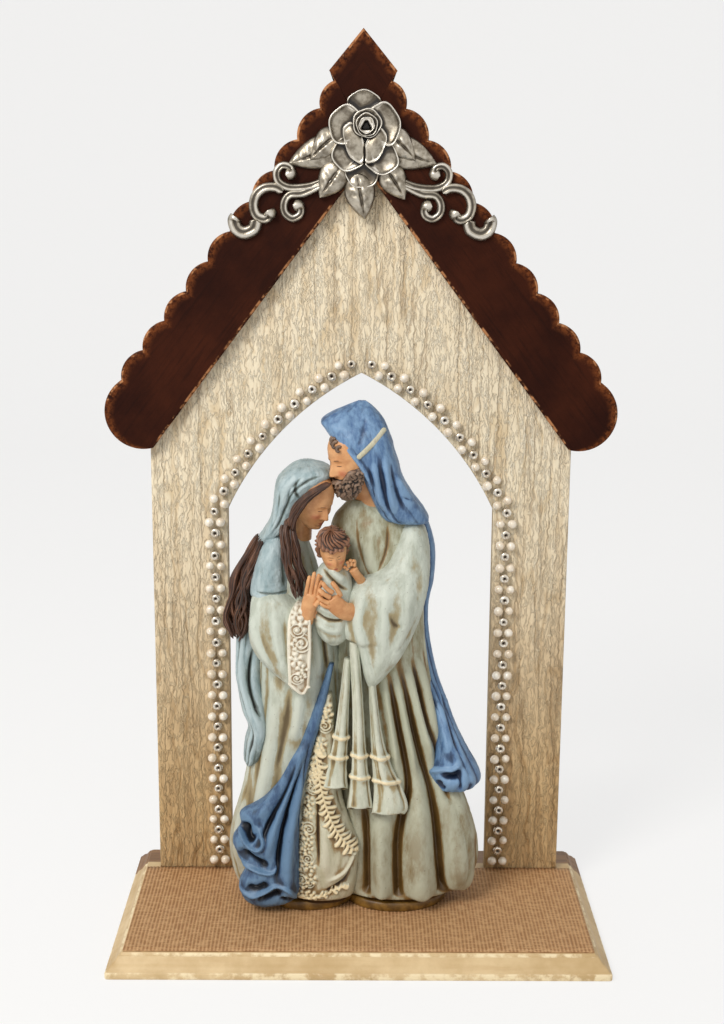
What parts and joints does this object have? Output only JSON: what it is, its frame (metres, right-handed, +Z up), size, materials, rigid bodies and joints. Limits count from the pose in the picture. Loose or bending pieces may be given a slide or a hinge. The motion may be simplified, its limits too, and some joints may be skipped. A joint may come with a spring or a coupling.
{
  "type": "retablo box",
  "caption": "Arched devotional niche: moulded base, upright panel with pointed opening, scalloped gable roof, pearl trim, cast rose ornament and a robed figure group",
  "frame": {"origin": "centre of the base board's underside, which is the bottom centre of the whole part", "axes": "+Z up, -Y is the front that faces the viewer, +X is the viewer's right"},
  "size_m": [0.217, 0.109, 0.375],
  "materials": {
    "painted_base": "golden beige paint, worn at the arrises",
    "ribbed_sheet": "pinkish tan ribbed sheet",
    "bark_paper": "ivory paint over embossed upright grain",
    "dark_stained_wood": "dark reddish brown stain, rubbed edges",
    "pearl": "ivory pearl lustre",
    "silvered_bead": "silvered glass",
    "antique_silver": "antiqued silver, dark in the hollows",
    "olive_resin": "olive brown paint on resin",
    "pale_robe": "pale ice blue cream, ochre wash in the folds",
    "blue_cloth": "mid blue paint with dry brushed folds",
    "light_blue_cloth": "light blue paint with brown wash",
    "cream_gold": "cream relief with gold brown wash",
    "skin": "warm skin paint",
    "hair": "dark brown paint, combed grooves"
  },
  "bodies": {
    "root": {"base_board": "painted_base", "base_covering": "ribbed_sheet", "arch_panel": "bark_paper", "roof_board": "dark_stained_wood", "pearl_beads": "pearl", "ring_beads": "silvered_bead", "rose_flower": "antique_silver", "rose_leaves": "antique_silver", "scroll_left": "antique_silver", "scroll_right": "antique_silver", "figure_plinth": "olive_resin", "father_robe": "pale_robe", "father_sleeve": "pale_robe", "father_stole": "pale_robe", "father_mantle": "blue_cloth", "father_headcloth": "blue_cloth", "father_headband": "cream_gold", "father_head": "skin", "father_beard": "hair", "father_hand": "skin", "mother_gown": "pale_robe", "mother_trim": "cream_gold", "mother_cloak": "blue_cloth", "mother_mantle": "light_blue_cloth", "mother_cape": "light_blue_cloth", "mother_sleeve": "pale_robe", "mother_cuff": "cream_gold", "mother_head": "skin", "mother_hair": "hair", "mother_lock": "hair", "mother_veil": "light_blue_cloth", "mother_hands": "skin", "infant_swaddle": "pale_robe", "infant_head": "skin", "infant_hair": "hair", "infant_hand": "skin"}
  },
  "joints": []
}
